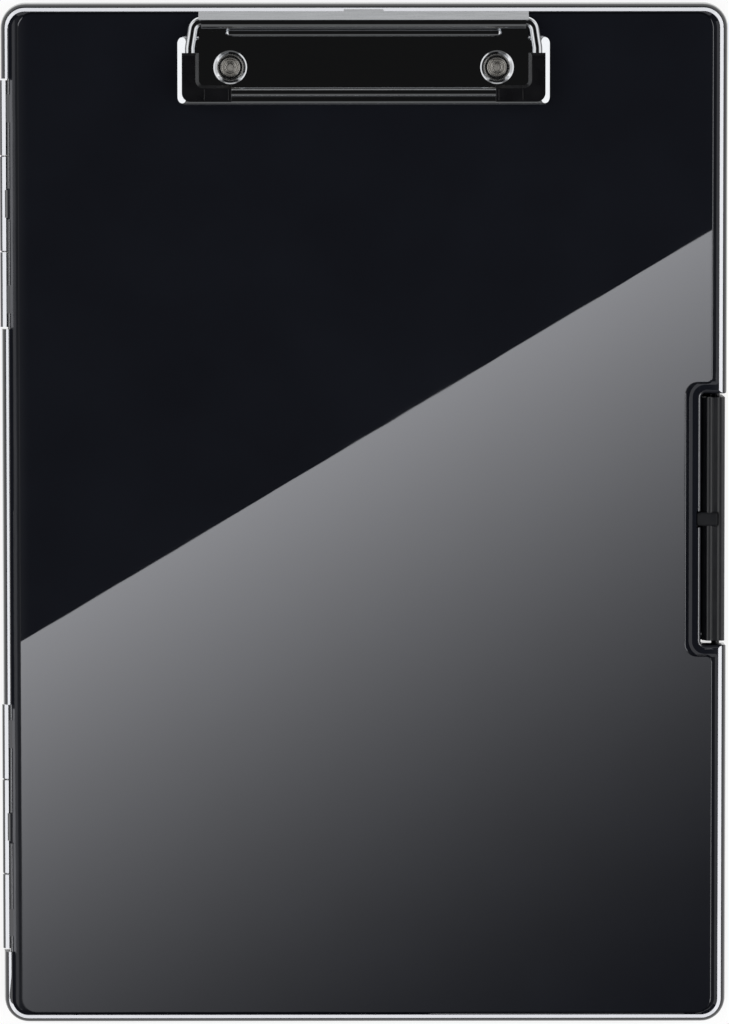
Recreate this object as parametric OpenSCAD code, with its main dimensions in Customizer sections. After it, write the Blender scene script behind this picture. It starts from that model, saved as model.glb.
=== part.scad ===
// Storage clipboard box: a shallow A4 case that opens like a book, with a
// low-profile wire clip riveted to its lid and a snap latch let into its side.
// The case lies on its back, lid up. +X is to the right, +Y to the clip end.

/* [Case] */
// Width of the case over the hinge barrels
case_w = 231; // [225:1:260]
// Length of the case
case_l = 325; // [316:1:360]
// Height of the case without the clip
case_h = 24; // [22:0.5:34]
// Height of the joint between tray and lid
joint_z = 16.5; // [14:0.5:17]
// Radius of the case's corners in plan
corner_r = 8; // [6:0.5:12]
// Thickness of the tray's and the lid's side walls
wall = 2; // [1.8:0.1:2.6]
// Thickness of the tray's floor
floor_t = 1.8; // [1.4:0.1:3]
// Thickness of the lid's writing plate
plate_t = 2; // [1.6:0.1:2.6]
// How far the side walls lean in between the joint and their far edge
draft = 0.8; // [0.4:0.1:1]
// Radius of the tray's bottom edge
tray_edge_r = 1.8; // [1:0.1:2.4]
// Height of the tray's lip inside the lid
lip_h = 2.4; // [1.5:0.1:3]
// Gap between the lip and the lid's skirt
lip_gap = 0.25; // [0.15:0.05:0.4]
// Depth of the relief under the tray's floor
foot_h = 0.6; // [0.3:0.1:0.8]
// Width of the rim that the tray stands on
foot_w = 7; // [5:0.5:12]

/* [Lid rim] */
// How far the lid's side walls lean in below the bead
lid_draft = 0.4; // [0.2:0.1:0.6]
// Radius of the bead's outer shoulder
bead_r = 3.2; // [2.6:0.1:3.4]
// Width of the narrow flat between that shoulder and the bead's crest
bead_flat_w = 1.1; // [0.7:0.1:1.4]
// Slope of that flat
bead_flat_tilt = 25; // [20:1:30]
// Width of the slope from the bead's crest down into the groove
bead_slope_w = 1; // [0.6:0.1:1.2]
// Angle of that slope
bead_slope_tilt = 18; // [10:1:24]
// How far the bead lies below the writing plate
bead_drop = 0.2; // [0:0.1:0.5]
// Depth of the groove beside the writing plate
groove_depth = 0.8; // [0.5:0.1:1]
// Distance from the bead's crest to the writing plate on the hinge side
groove_left = 2.85; // [2.4:0.05:4]
// Distance from the bead's crest to the writing plate on the latch side
groove_right = 2.05; // [1.8:0.05:3]
// Distance from the bead's crest to the writing plate at the two ends
groove_end = 0.6; // [0.5:0.05:2]
// Width of the slot right beside the writing plate
slot_w = 0.35; // [0.2:0.05:0.45]
// Radius of the writing plate's corners
panel_r = 4.8; // [3:0.1:7]
// Width of the bevel along the writing plate's edge
panel_bevel_w = 0.3; // [0.2:0.05:0.5]
// Height of that bevel
panel_bevel_h = 0.55; // [0.4:0.05:0.7]

/* [Hinges] */
// Radius of a hinge barrel
barrel_r = 2.6; // [2.4:0.1:3]
// Radius of a hinge pin
pin_r = 0.8; // [0.6:0.1:1]
// Running clearance of a pin in its barrel, on the radius
pin_gap = 0.05; // [0.02:0.01:0.1]
// How far the barrels stand out past the lid's edge
barrel_proud = 0.4; // [0.2:0.1:0.8]
// Length of each outer barrel of a hinge
outer_barrel_l = 23.7; // [18:0.1:30]
// Length of the middle barrel of a hinge
middle_barrel_l = 29.8; // [20:0.1:36]
// Half the angle of the flat along the upper side of each barrel
barrel_flat = 15; // [8:1:20]
// Depth of the step at the middle barrel's ends, where it nears its neighbours
boss_step = 0.35; // [0.2:0.05:0.6]
// Gap between two barrels
barrel_gap = 0.5; // [0.3:0.1:1]
// Distance from the clip end of the case to the middle of the nearer hinge
hinge_upper_in = 63.6; // [56:0.1:80]
// Distance from the other end of the case to the middle of the other hinge
hinge_lower_in = 62.7; // [56:0.1:80]
// Length of the arm that carries each barrel
arm_l = 8.8; // [6:0.1:12]
// Distance between the arms of neighbouring barrels
arm_pitch = 30.2; // [27:0.1:34]
// Width of the slope along the outer edge of each arm
arm_slope_w = 1.1; // [0.6:0.1:1.3]
// Angle of that slope
arm_slope_tilt = 20; // [10:1:30]
// Radius of the lid's edge beside the barrels
ledge_r = 1; // [0.4:0.1:1.1]

/* [Latch] */
// Length of the notch in the case's side
notch_l = 80; // [60:1:120]
// Middle of the notch along the case
notch_y = -1.3; // [-20:0.1:20]
// Depth of the notch
notch_d = 8.4; // [8:0.1:10]
// Radius of the notch's outer corners
mouth_r = 1.2; // [0.6:0.1:2]
// Radius of the notch's inner corners
root_r = 1.2; // [0.6:0.1:2]
// Radius of the lid's edge round the notch
notch_edge_r = 1.3; // [0.8:0.1:1.6]
// Height of the tray's sill under the latch
sill_h = 1.2; // [0.8:0.1:1.2]
// Gap between the latch's ends and the notch
latch_end_gap = 1.25; // [0.6:0.05:2]
// Gap between the latch and the notch's back wall
latch_gap = 0.5; // [0.3:0.1:1]
// How far the latch lies inside the case's outline
latch_inset = 0.8; // [0.4:0.1:1.4]
// Thickness of the latch's outer wall
latch_t = 1.8; // [1.4:0.1:2.4]
// Height of the latch's pivot above the table
pivot_z = 3.4; // [3:0.1:5]
// Radius of the latch's pivot stubs
stub_r = 1.3; // [1:0.1:1.5]
// Length of a stub inside its ear
stub_l = 1.5; // [1:0.1:1.8]
// Running clearance of a stub in its ear, on the radius
stub_gap = 0.06; // [0.02:0.01:0.1]
// Length of the snap nose
nose_l = 4.6; // [3:0.1:12]
// Reach of the snap nose into the lid's edge
nose_reach = 1.2; // [0.6:0.1:1.6]

/* [Clip] */
// Width of the clip plate
clip_w = 117.6; // [110:0.2:130]
// Length of the clip plate's wide part
clip_l = 21.7; // [20:0.1:26]
// Gap from the lid's end to the clip plate's wide part
clip_back = 10.6; // [10:0.1:14]
// Height of the clip plate above the lid
clip_h = 2.2; // [2:0.1:3]
// Thickness of the clip plate's steel
steel_t = 0.8; // [0.6:0.1:1]
// Radius of the clip plate's corners
clip_corner_r = 2.4; // [2:0.1:4]
// Radius of the clip plate's turned-down edges
clip_edge_r = 1.7; // [1:0.1:1.8]
// Width of the sloping flange at each end of the clip plate
flange_w = 2.7; // [2:0.1:3.2]
// Height of that flange's upright foot
flange_foot = 0.4; // [0.2:0.1:0.8]
// Width of the neck and lip round the roll that holds the bail
roll_w = 104; // [100:0.5:110]
// Radius of the bail's wire
wire_r = 1.55; // [1.2:0.05:1.6]
// Running clearance of the wire in its roll, on the radius
wire_gap = 0.08; // [0.02:0.01:0.1]
// Radius of the bends where the wire leaves the roll
wire_bend_r = 2.9; // [2.4:0.1:4]
// Radius of the bends inside the corner sleeves
jaw_bend_r = 3; // [2.4:0.1:5]
// Splay of the bail's arms
splay = 9; // [0:1:15]
// Length of the splayed stretch of each arm
splay_l = 5.6; // [3:0.1:8]
// Length of the wire's ends inside the roll
wire_end_l = 44; // [20:1:48]
// Slope of the lip behind the roll
lip_slope = 28; // [15:1:40]
// Length of the lip behind the roll
lip_l = 3; // [2:0.1:3.4]
// Width of the tab in the middle of the lip
tab_w = 12.5; // [8:0.5:20]
// How far the tab stands out from the lip
tab_l = 0.8; // [0.4:0.1:1.2]
// Length of the stiffening bead in front of the roll
rib_l = 87; // [60:1:96]
// Width of the stiffening bead
rib_w = 2.6; // [2:0.1:3]
// Height of the stiffening bead
rib_h = 0.7; // [0.4:0.1:0.9]

/* [Rivets] */
// Distance between the two rivets
rivet_pitch = 84.2; // [70:0.2:92]
// Radius of a rivet's head
rivet_head_r = 3.2; // [2.8:0.1:3.6]
// Height of a rivet's head
rivet_head_h = 1; // [0.7:0.1:1.2]
// Radius of a rivet's shank
rivet_r = 2; // [1.6:0.1:2.2]
// Radius of the hollow in a rivet's rolled end
rivet_bore_r = 1.2; // [0.8:0.1:1.3]
// Thickness of a rivet's closed head under the washer
rivet_foot_h = 0.8; // [0.6:0.1:1]
// Clearance round a rivet's shank
rivet_gap = 0.05; // [0.02:0.01:0.15]
// Radius of the dish that a rivet sits in
dish_r = 5.1; // [4.8:0.1:5.6]
// Radius of the washer under the lid
washer_r = 5; // [4.4:0.1:6]
// Thickness of the washer under the lid
washer_t = 0.8; // [0.5:0.1:1]

/* [Corner sleeves] */
// Width of a sleeve over the bail's arm
sleeve_w = 5.3; // [4.8:0.1:6]
// Length of a sleeve along the arm
sleeve_arm_l = 15.4; // [12:0.1:17]
// Length of a sleeve along the jaw
sleeve_jaw_l = 15.6; // [12:0.1:24]
// Height of plastic above the wire
sleeve_top = 1.15; // [0.8:0.05:1.6]
// Reach of the sleeve's finger edge in front of the wire
finger_edge = 3.1; // [2.4:0.1:3.6]
// Radius of a sleeve's outer corner
sleeve_corner_r = 2.8; // [2:0.1:4]
// Radius of a sleeve's inner corner
sleeve_root_r = 1.6; // [1:0.1:3]
// Length of the raised grip pad on a sleeve
pad_l = 7.6; // [5:0.1:9]
// Height of the raised grip pad
pad_h = 0.3; // [0.2:0.05:0.5]
// Clearance of the wire in a sleeve's channel
sleeve_gap = 0.03; // [0.01:0.01:0.1]

/* [Hidden] */
$fn = 64;
over = 1;           // how far a cutter runs past what it cuts
seat = 0.05;        // gap under a piece that only rests on another
merge = 0.2;        // how far one feature runs into the next
lap = 0.05;         // overlap of a straight stretch of wire with a bend
hair = 0.01;        // how much thinner a bend's wire is than a straight stretch's

half_w = case_w / 2;
half_l = case_l / 2;
lid_left = -half_w + barrel_proud;
hinge_x = -half_w + barrel_r;
hinge_clear = 0.6;                          // between the turning rim and the tray's back wall
tray_left = hinge_x + barrel_r + hinge_clear;
bead_z = case_h - bead_drop;
groove_z = case_h - groove_depth;
lid_under = case_h - plate_t;
lip_t = wall / 2;
bore_r = pin_r + pin_gap;

notch_x = half_w - notch_d;
notch_lo = notch_y - notch_l / 2;
notch_hi = notch_y + notch_l / 2;

flat_half = asin(bead_flat_w / cos(bead_flat_tilt) / 2 / bead_r);
flat_top = bead_flat_tilt - flat_half;      // tilt of the shoulder's round at the flat's two edges
flat_low = bead_flat_tilt + flat_half;
bead_foot_z = joint_z + 0.6;                // top of the lid wall's upright foot
bead_mid_z = bead_z - bead_r * cos(flat_top);
bead_lean = atan(lid_draft / (bead_mid_z - bead_foot_z));
bead_mid_in = (bead_r + (bead_mid_z - bead_foot_z) * sin(bead_lean)) / cos(bead_lean);
bead_w = bead_mid_in - bead_r * sin(flat_top);  // from the lid's edge to the bead's crest

panel_left = lid_left + bead_w + groove_left;
panel_side = bead_w + groove_right;
panel_end = bead_w + groove_end;

hinge_l = 2 * outer_barrel_l + middle_barrel_l + 2 * barrel_gap;
hinge_upper_y = half_l - hinge_upper_in;
hinge_lower_y = hinge_lower_in - half_l;
ledge_x = hinge_x + 0.1;                    // outer face of the ledge beside the barrels
ledge_w = 1.4;
arm_reach = 0.1;                            // how far a lid arm reaches past the hinge's axis
arm_proud = 0.15;                           // how far a lid arm stands up from the groove
arm_rise = arm_slope_w * tan(arm_slope_tilt);
arm_top = lid_under - plate_t / 2;          // top of a tray arm
pin_stop = 1.5;                             // closed end of each hinge's bore
pin_sunk = 0.4;                             // how deep the pin's end lies in that bore's mouth
land = 0.6;                                 // upright foot of a leaning wall
back_top = lid_under - 0.3;                 // top of the tray's back wall
tray_joint = tray_left + wall / 2;          // where the arms run into the back wall

clip_top = case_h + clip_h;
clip_under = clip_top - steel_t;
clip_y_hi = half_l - clip_back;
clip_y_lo = clip_y_hi - clip_l;
flange_a = atan((clip_h - flange_foot) / flange_w);
flange_in = 0.75 * steel_t / sin(flange_a);  // from the flange's slope to the hollow's
roll_out_r = wire_r + wire_gap + steel_t;
roll_in_r = wire_r + wire_gap;
roll_z = clip_under + roll_out_r;
roll_y = clip_y_hi + rib_w + roll_out_r - 0.5;
rib_y = clip_y_hi + 1.1;
neck_l = 2.6;                               // how far the neck runs back into the wide part
bend_in = 1;                                // how far inside the lip's end the wire bends
rivet_y = clip_y_hi - 9.9;
rivet_x = rivet_pitch / 2;
dish_gap = 0.25;                            // room round a rivet's head on the dish's floor
dish_floor_r = rivet_head_r + dish_gap;
jaw_y = clip_y_lo + finger_edge + 0.9;

bend_x = roll_w / 2 - bend_in;              // middle of the bend at the roll's end
roll_l = 2 * (bend_x + merge);              // the roll stops short of the lip, where the wire bends
ease_r = 4;                                 // bend that ends the splayed stretch
bend_end = [bend_x, roll_y - wire_bend_r] + wire_bend_r * [cos(splay), sin(splay)];
splay_end = bend_end + splay_l * [sin(splay), -cos(splay)];
ease_mid = splay_end - ease_r * [cos(splay), sin(splay)];
arm_x = ease_mid[0] + ease_r;

flank_w = 1.25;                             // plastic on each side of the wire
jaw_flank_w = 0.6;                          // plastic behind the jaw
sleeve_in = wire_r + flank_w;               // reach inside the arm's middle line
sleeve_out = sleeve_w - sleeve_in;          // reach outside it
jaw_in = wire_r + jaw_flank_w;              // reach behind the jaw's middle line
sleeve_x = arm_x + sleeve_out;
sleeve_y = jaw_y - finger_edge;
sleeve_lo = clip_top + seat - roll_z;
sleeve_hi = wire_r + sleeve_top;
sleeve_leg_x = arm_x - sleeve_in;           // inner flank of the arm's leg
sleeve_leg_y = jaw_y + jaw_in;              // back flank of the jaw's leg
bevel_w = 1;                                // slope along the sleeve's inner flank
bevel_h = 2.4;

latch_x_hi = half_w - latch_inset;
latch_x_lo = notch_x + latch_gap;
latch_l = notch_l - 2 * latch_end_gap;
latch_sunk = 1;                             // how far the latch's top lies below the bead
latch_top = bead_z - latch_sunk;
pivot_barrel_r = stub_r + 0.6;
pivot_x = latch_x_hi - pivot_barrel_r;
sill_x = pivot_x + 1;                       // outer edge of the tray's sill
ridge_r = 1.2;                              // rounded ridge along the latch's inner edge
ridge_x = latch_x_lo + ridge_r + 1;
brow_r = 1.4;                               // rounded ridge along its outer edge
brow_drop = 0.3;                            // how far that one lies below the inner ridge
channel_d = 0.7;                            // depth of the finger channel between them
hook_h = 5;                                 // height of the latch's inner hook
hook_t = 1.3;                               // its thickness
nose_r = 0.9;                               // radius of the snap nose's sides
nose_rise = 0.25;                           // how far it stands up from the latch's top
nose_gap = 0.3;                             // room round the nose in its slot

// ---------- outlines and edges that follow the case's plan ----------

// A path round the case: a rectangle with a notch in its right side.
// Each entry: left, right and end faces, corner radii, then the notch.
function path(left, right, end, r_left, r_right, n_x, n_lo, n_hi, r_mouth, r_root) =
    [left, right, end, r_left, r_right, n_x, n_lo, n_hi, r_mouth, r_root];

lid_edge = path(lid_left, half_w, half_l, corner_r, corner_r,
                notch_x, notch_lo, notch_hi, mouth_r, root_r);
crest_edge = path(lid_left + bead_w, half_w - bead_w, half_l - bead_w,
                  corner_r - bead_w, corner_r - bead_w,
                  notch_x - bead_w, notch_lo - bead_w, notch_hi + bead_w,
                  bead_slope_w + merge, root_r + bead_w);
panel_path = path(panel_left, half_w - panel_side, half_l - panel_end, panel_r, panel_r,
                  notch_x - panel_side, notch_lo - panel_end, notch_hi + panel_end,
                  1.8, root_r + bead_w - 0.3);
tray_edge = path(tray_left, half_w, half_l, corner_r / 2, corner_r,
                 notch_x, notch_lo, notch_hi, mouth_r, root_r);

function inset(p, d) =
    path(p[0] + d, p[1] - d, p[2] - d, max(p[3] - d, 0.6), max(p[4] - d, 0.6),
         p[5] - d, p[6] - d, p[7] + d, max(p[8] - d, 0), p[9] + d);

groove_edge = inset(crest_edge, bead_slope_w);

// The lid's skirt is cut back here to make room for the tray's lip.
lip_room = inset(tray_edge, wall - lip_t - lip_gap);

module corner_block(x, y, r, a) {
    translate([x, y]) rotate(a) difference() {
        square(r + over);
        circle(r);
    }
}

// The path's filled outline.
module plan(p) {
    difference() {
        translate([p[0], -p[2]]) square([p[1] - p[0], 2 * p[2]]);
        corner_block(p[1] - p[4], p[2] - p[4], p[4], 0);
        corner_block(p[0] + p[3], p[2] - p[3], p[3], 90);
        corner_block(p[0] + p[3], -p[2] + p[3], p[3], 180);
        corner_block(p[1] - p[4], -p[2] + p[4], p[4], 270);
        if (p[8] > 0) {
            corner_block(p[1] - p[8], p[7] + p[8], p[8], 270);
            corner_block(p[1] - p[8], p[6] - p[8], p[8], 0);
        }
        translate([p[5] + p[9], p[6]]) square([p[1] - p[5], p[7] - p[6]]);
        translate([p[5], p[6] + p[9]]) square([p[9] + over, p[7] - p[6] - 2 * p[9]]);
        for (y = [p[6] + p[9], p[7] - p[9]])
            translate([p[5] + p[9], y]) circle(p[9]);
    }
}

module plan_slab(p, z_lo, z_hi) {
    translate([0, 0, z_lo]) linear_extrude(z_hi - z_lo) plan(p);
}

// A straight stretch of cutter: its profile lies in u (out of the case) and z.
module run(x, y, a, l) {
    translate([x, y, 0]) rotate([90, 0, a]) linear_extrude(l) children();
}

// A quarter turn of the same cutter; side -1 turns it inside out.
module turn(x, y, a, r, side = 1) {
    translate([x, y, 0]) rotate(a) rotate_extrude(angle = 90)
        translate([r, 0]) mirror([side < 0 ? 1 : 0, 0]) children();
}

// Runs a cutter's profile along a path's four sides. With a mitre, it runs past
// the notch's outer corners.
module round_sides(p, mitre = false) {
    past = mitre ? p[8] + over : 0;
    end_run = p[1] - p[4] - p[0] - p[3];
    run(p[1], p[2] - p[4], 0, p[2] - p[4] - p[7] - p[8] + past) children();
    run(p[1], p[6] - p[8] + past, 0, p[2] - p[4] + p[6] - p[8] + past) children();
    run(p[0], -p[2] + p[3], 180, 2 * (p[2] - p[3])) children();
    run(p[0] + p[3], p[2], 90, end_run) children();
    run(p[1] - p[4], -p[2], 270, end_run) children();
    turn(p[1] - p[4], p[2] - p[4], 0, p[4]) children();
    turn(p[0] + p[3], p[2] - p[3], 90, p[3]) children();
    turn(p[0] + p[3], -p[2] + p[3], 180, p[3]) children();
    turn(p[1] - p[4], -p[2] + p[4], 270, p[4]) children();
}

// The same along the notch.
module round_notch(p, mitre = false) {
    past = mitre ? p[8] + over : 0;
    mouth_run = p[1] - p[8] - p[5] - p[9] + past;
    run(p[5], p[7] - p[9], 0, p[7] - p[6] - 2 * p[9]) children();
    run(p[5] + p[9] + mouth_run, p[7], 270, mouth_run) children();
    run(p[5] + p[9], p[6], 90, mouth_run) children();
    turn(p[5] + p[9], p[7] - p[9], 90, p[9], -1) children();
    turn(p[5] + p[9], p[6] + p[9], 180, p[9], -1) children();
}

// Runs a cutter's profile all round a path. Without a mitre, it turns at the
// notch's outer corners.
module round_path(p, mitre = false) {
    round_sides(p, mitre) children();
    round_notch(p, mitre) children();
    if (!mitre) {
        turn(p[1] - p[8], p[7] + p[8], 270, p[8]) children();
        turn(p[1] - p[8], p[6] - p[8], 0, p[8]) children();
    }
}

// Cuts a wall's leaning face and round shoulder. The wall stands up from z_lo
// to z_hi; u is 0 at its foot, where a short land stays upright.
module shoulder_cutter(z_lo, z_hi, lean, r) {
    h = z_hi - z_lo - r;
    a = atan(lean / (h + r * sin(atan(lean / h))));
    foot = [0, z_lo];
    centre = [-lean - r * cos(a), z_hi - r];
    difference() {
        polygon([foot, centre + r * [cos(a), sin(a)], centre, [centre[0], z_hi + over],
                 [over, z_hi + over], [over, z_lo]]);
        translate(centre) circle(r);
    }
}

// Cuts the lid's leaning wall, its round shoulder and the narrow flat that
// slopes up from the shoulder to the bead's crest.
module bead_cutter() {
    mid = [-bead_mid_in, bead_mid_z];
    from = [cos(bead_lean), sin(bead_lean)];
    to = [sin(flat_low), cos(flat_low)];
    difference() {
        polygon([[0, bead_foot_z], mid + bead_r * from, mid + bead_r * to, [-bead_w, bead_z],
                 [-bead_w, bead_z + over], [over, bead_z + over], [over, bead_foot_z]]);
        intersection() {
            translate(mid) circle(bead_r);
            polygon([mid, mid + 2 * bead_r * from, mid + 2 * bead_r * to]);
        }
    }
}

// Cuts the slope from the bead's crest down into the groove.
module slope_cutter() {
    polygon([[0, bead_z], [-bead_slope_w - hair, bead_z - bead_slope_w * tan(bead_slope_tilt)],
             [-bead_slope_w - hair, bead_z + over], [0, bead_z + over]]);
}

// Bevels the writing plate's edge.
module panel_cutter() {
    polygon([[-panel_bevel_w, case_h], [0, case_h - panel_bevel_h],
             [merge, case_h - panel_bevel_h], [merge, case_h + over],
             [-panel_bevel_w, case_h + over]]);
}

// Cuts a quarter round on a sharp top edge whose wall faces +u.
module edge_cutter(z, r, reach = 0.5) {
    difference() {
        translate([-r, z - r]) square([r + reach, r + reach]);
        translate([-r, z - r]) circle(r);
    }
}

// A rod along Y.
module rod_y(x, z, r, y_lo, y_hi) {
    translate([x, y_hi, z]) rotate([90, 0, 0]) cylinder(r = r, h = y_hi - y_lo);
}

module along_y(x, y, z, r, l) {
    rod_y(x, z, r, y - l / 2, y + l / 2);
}

// A block given by its X and Z faces, and by its middle and length along Y.
module block(x_lo, x_hi, y_mid, l, z_lo, z_hi) {
    translate([x_lo, y_mid - l / 2, z_lo]) cube([x_hi - x_lo, l, z_hi - z_lo]);
}

// A profile in X and Z, drawn out along Y.
module slab_y(y_mid, l) {
    translate([0, y_mid + l / 2, 0]) rotate([90, 0, 0]) linear_extrude(l) children();
}

// A hinge barrel, with a flat along its upper outer side.
module barrel(y, l) {
    flat_tilt = 27;
    slab_y(y, l) translate([hinge_x, joint_z]) rotate(flat_tilt) difference() {
        circle(barrel_r);
        translate([-barrel_r, barrel_r * cos(barrel_flat)]) square(2 * barrel_r);
    }
}

// ---------- tray ----------

// Web between the tray's back wall and its middle barrel.
module tray_arm(y) {
    slab_y(y, arm_l)
        polygon([[tray_joint, joint_z - barrel_r], [hinge_x, joint_z - barrel_r],
                 [hinge_x - barrel_r / 2, joint_z + barrel_r * 0.6],
                 [hinge_x, arm_top - arm_rise], [hinge_x + arm_slope_w, arm_top],
                 [tray_joint, arm_top]]);
}

module tray_barrel(y) {
    boss_gap = 0.1;
    barrel(y, middle_barrel_l);
    along_y(hinge_x, y, joint_z, barrel_r - boss_step,
            middle_barrel_l + 2 * (barrel_gap - boss_gap));
    block(hinge_x, tray_joint, y, middle_barrel_l, joint_z - barrel_r, joint_z - merge);
    tray_arm(y);
}

// Ears at the notch's ends that carry the latch's stubs.
module latch_bores() {
    for (y = [notch_lo, notch_hi])
        along_y(pivot_x, y, pivot_z, stub_r + stub_gap, 2 * wall + over);
}

module base_tray() {
    color([0.06, 0.065, 0.075]) difference() {
        union() {
            difference() {
                plan_slab(tray_edge, 0, joint_z);
                plan_slab(inset(tray_edge, wall), floor_t, joint_z + over);
                mirror([0, 0, 1]) translate([0, 0, -joint_z])
                    round_path(tray_edge, true) shoulder_cutter(land, joint_z, draft, tray_edge_r);
            }
            translate([0, 0, joint_z - wall / 2]) linear_extrude(lip_h + wall / 2) difference() {
                plan(inset(tray_edge, wall - lip_t));
                plan(inset(tray_edge, wall));
            }
            block(tray_left, tray_left + wall, 0, 2 * (half_l - corner_r), joint_z - over, back_top);
            block(notch_x - foot_w / 2, sill_x, notch_y, notch_l + 2 * merge, 0, sill_h);
            for (y = [hinge_upper_y, hinge_lower_y]) tray_barrel(y);
        }
        for (y = [hinge_upper_y, hinge_lower_y])
            along_y(hinge_x, y, joint_z, bore_r, middle_barrel_l + over);
        plan_slab(inset(tray_edge, foot_w), -over, foot_h);
        latch_bores();
    }
}

// ---------- lid ----------

// Room for the turning barrels and the tray's arms.
module hinge_cut(y) {
    block(lid_left - over, ledge_x, y, hinge_l + 2 * barrel_gap, joint_z - over, case_h + over);
    block(lid_left - over, lid_left + bead_w + bead_slope_w + hair, y,
          hinge_l + 2 * barrel_gap, groove_z, case_h + over);
    run(ledge_x, y - hinge_l / 2 - barrel_gap, 180, hinge_l + 2 * barrel_gap)
        edge_cutter(groove_z, ledge_r);
    block(lid_left - over, ledge_x + ledge_w - merge, y, arm_l + 2 * barrel_gap,
          joint_z - over, case_h + over);
}

// Section of the arm that ties a barrel to the lid's top.
module lid_arm() {
    x = hinge_x - arm_reach;
    top = groove_z + arm_proud;
    polygon([[ledge_x + ledge_w, joint_z + 1], [x, joint_z + 1], [x, top - arm_rise],
             [x + arm_slope_w, top], [ledge_x + ledge_w, top]]);
}

module lid_hinge(y) {
    side = (outer_barrel_l + middle_barrel_l) / 2 + barrel_gap;
    ledge_lo = joint_z + barrel_r + barrel_gap;
    difference() {
        union() {
            block(ledge_x, ledge_x + ledge_w, y, hinge_l, ledge_lo, lid_under + merge);
            for (s = [-1, 1]) {
                barrel(y + s * side, outer_barrel_l);
                block(ledge_x, ledge_x + ledge_w, y + s * side, outer_barrel_l,
                      joint_z + merge, lid_under + merge);
                slab_y(y + s * arm_pitch, arm_l) lid_arm();
            }
        }
        along_y(hinge_x, y, joint_z, barrel_r + barrel_gap, middle_barrel_l + 2 * barrel_gap);
        block(ledge_x - over, ledge_x + ledge_w + over, y, arm_l + 2 * barrel_gap,
              joint_z, lid_under);
        rod_y(hinge_x, joint_z, bore_r, y - hinge_l / 2 - over, y + hinge_l / 2 - pin_stop);
    }
}

module lid_rivet_holes() {
    for (s = [-1, 1])
        translate([s * rivet_x, rivet_y, lid_under - over])
            cylinder(r = rivet_r + rivet_gap, h = plate_t + 2 * over);
}

// Slot in the lid's edge that the latch's nose snaps into.
module nose_slot() {
    block(notch_x - nose_reach - nose_gap, notch_x + over, notch_y, nose_l + 2 * nose_gap,
          joint_z - over, case_h + over);
}

module lid() {
    color([0.05, 0.055, 0.06]) {
        difference() {
            union() {
                difference() {
                    plan_slab(lid_edge, joint_z, bead_z);
                    plan_slab(groove_edge, groove_z, bead_z + over);
                    plan_slab(inset(panel_path, -slot_w), groove_z, bead_z + over);
                    round_path(crest_edge) slope_cutter();
                    round_sides(lid_edge, true) bead_cutter();
                    round_notch(lid_edge, true) edge_cutter(bead_z, notch_edge_r);
                }
                difference() {
                    plan_slab(panel_path, groove_z - merge, case_h);
                    round_path(panel_path) panel_cutter();
                }
            }
            plan_slab(inset(lid_edge, wall), joint_z - over, lid_under);
            plan_slab(lip_room, joint_z - over, joint_z + lip_h + lip_gap);
            for (y = [hinge_upper_y, hinge_lower_y]) hinge_cut(y);
            lid_rivet_holes();
            nose_slot();
        }
        for (y = [hinge_upper_y, hinge_lower_y]) lid_hinge(y);
    }
}

// ---------- hinge pins ----------

module hinge_pin(y) {
    color("silver") rod_y(hinge_x, joint_z, pin_r, y - hinge_l / 2 + pin_sunk,
                          y + hinge_l / 2 - pin_stop - seat);
}

module hinge_pin_upper() {
    hinge_pin(hinge_upper_y);
}

module hinge_pin_lower() {
    hinge_pin(hinge_lower_y);
}

// ---------- latch ----------

// Section across the latch: a hooked wall with a finger channel along its top.
module latch_section() {
    brow_x = latch_x_hi - brow_r;
    brow_z = latch_top - brow_r - brow_drop;
    ridge_z = latch_top - ridge_r;
    hook_z = latch_top - hook_h;
    translate([ridge_x, ridge_z]) circle(ridge_r);
    translate([brow_x, brow_z]) circle(brow_r);
    translate([ridge_x, ridge_z - ridge_r]) square([brow_x - ridge_x, 2 * ridge_r - channel_d]);
    polygon([[ridge_x, ridge_z - ridge_r], [ridge_x - ridge_r, ridge_z],
             [latch_x_lo, ridge_z - ridge_r], [latch_x_lo, hook_z],
             [latch_x_lo + hook_t, hook_z], [latch_x_lo + hook_t, ridge_z - 1.5 * ridge_r]]);
    translate([latch_x_hi - latch_t, pivot_z]) square([latch_t, brow_z - pivot_z]);
    translate([pivot_x, pivot_z]) circle(pivot_barrel_r);
}

module snap_nose() {
    tip_x = notch_x - nose_reach;
    mid = nose_l / 2 - nose_r;
    translate([tip_x, notch_y, latch_top + nose_rise]) rotate([90, 0, 90])
        linear_extrude(ridge_x + 2 * ridge_r - tip_x) {
            for (u = [-mid, mid]) translate([u, -nose_r]) circle(nose_r);
            translate([-mid, -2 * nose_r]) square([2 * mid, 2 * nose_r]);
        }
}

module side_latch() {
    color([0.09, 0.09, 0.1]) {
        translate([0, notch_y + latch_l / 2, 0]) rotate([90, 0, 0])
            linear_extrude(latch_l) latch_section();
        along_y(pivot_x, notch_y, pivot_z, stub_r, latch_l + 2 * (latch_end_gap + stub_l));
        snap_nose();
    }
}

// ---------- clip ----------

module clip_outline(d) {
    x = clip_w / 2 - d;
    r = clip_corner_r - d;
    difference() {
        translate([-x, clip_y_lo + d]) square([2 * x, clip_l - 2 * d]);
        corner_block(x - r, clip_y_hi - d - r, r, 0);
        corner_block(r - x, clip_y_hi - d - r, r, 90);
        corner_block(r - x, clip_y_lo + d + r, r, 180);
        corner_block(x - r, clip_y_lo + d + r, r, 270);
    }
}

// Slopes the two ends of the clip plate, or of the hollow under it, inset by d.
module clip_slopes(d) {
    x = clip_w / 2 - d;
    l = clip_l + 2 * over;
    run(x, clip_y_hi + over, 0, l) flange_cutter();
    run(-x, clip_y_lo - over, 180, l) flange_cutter();
}

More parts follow.
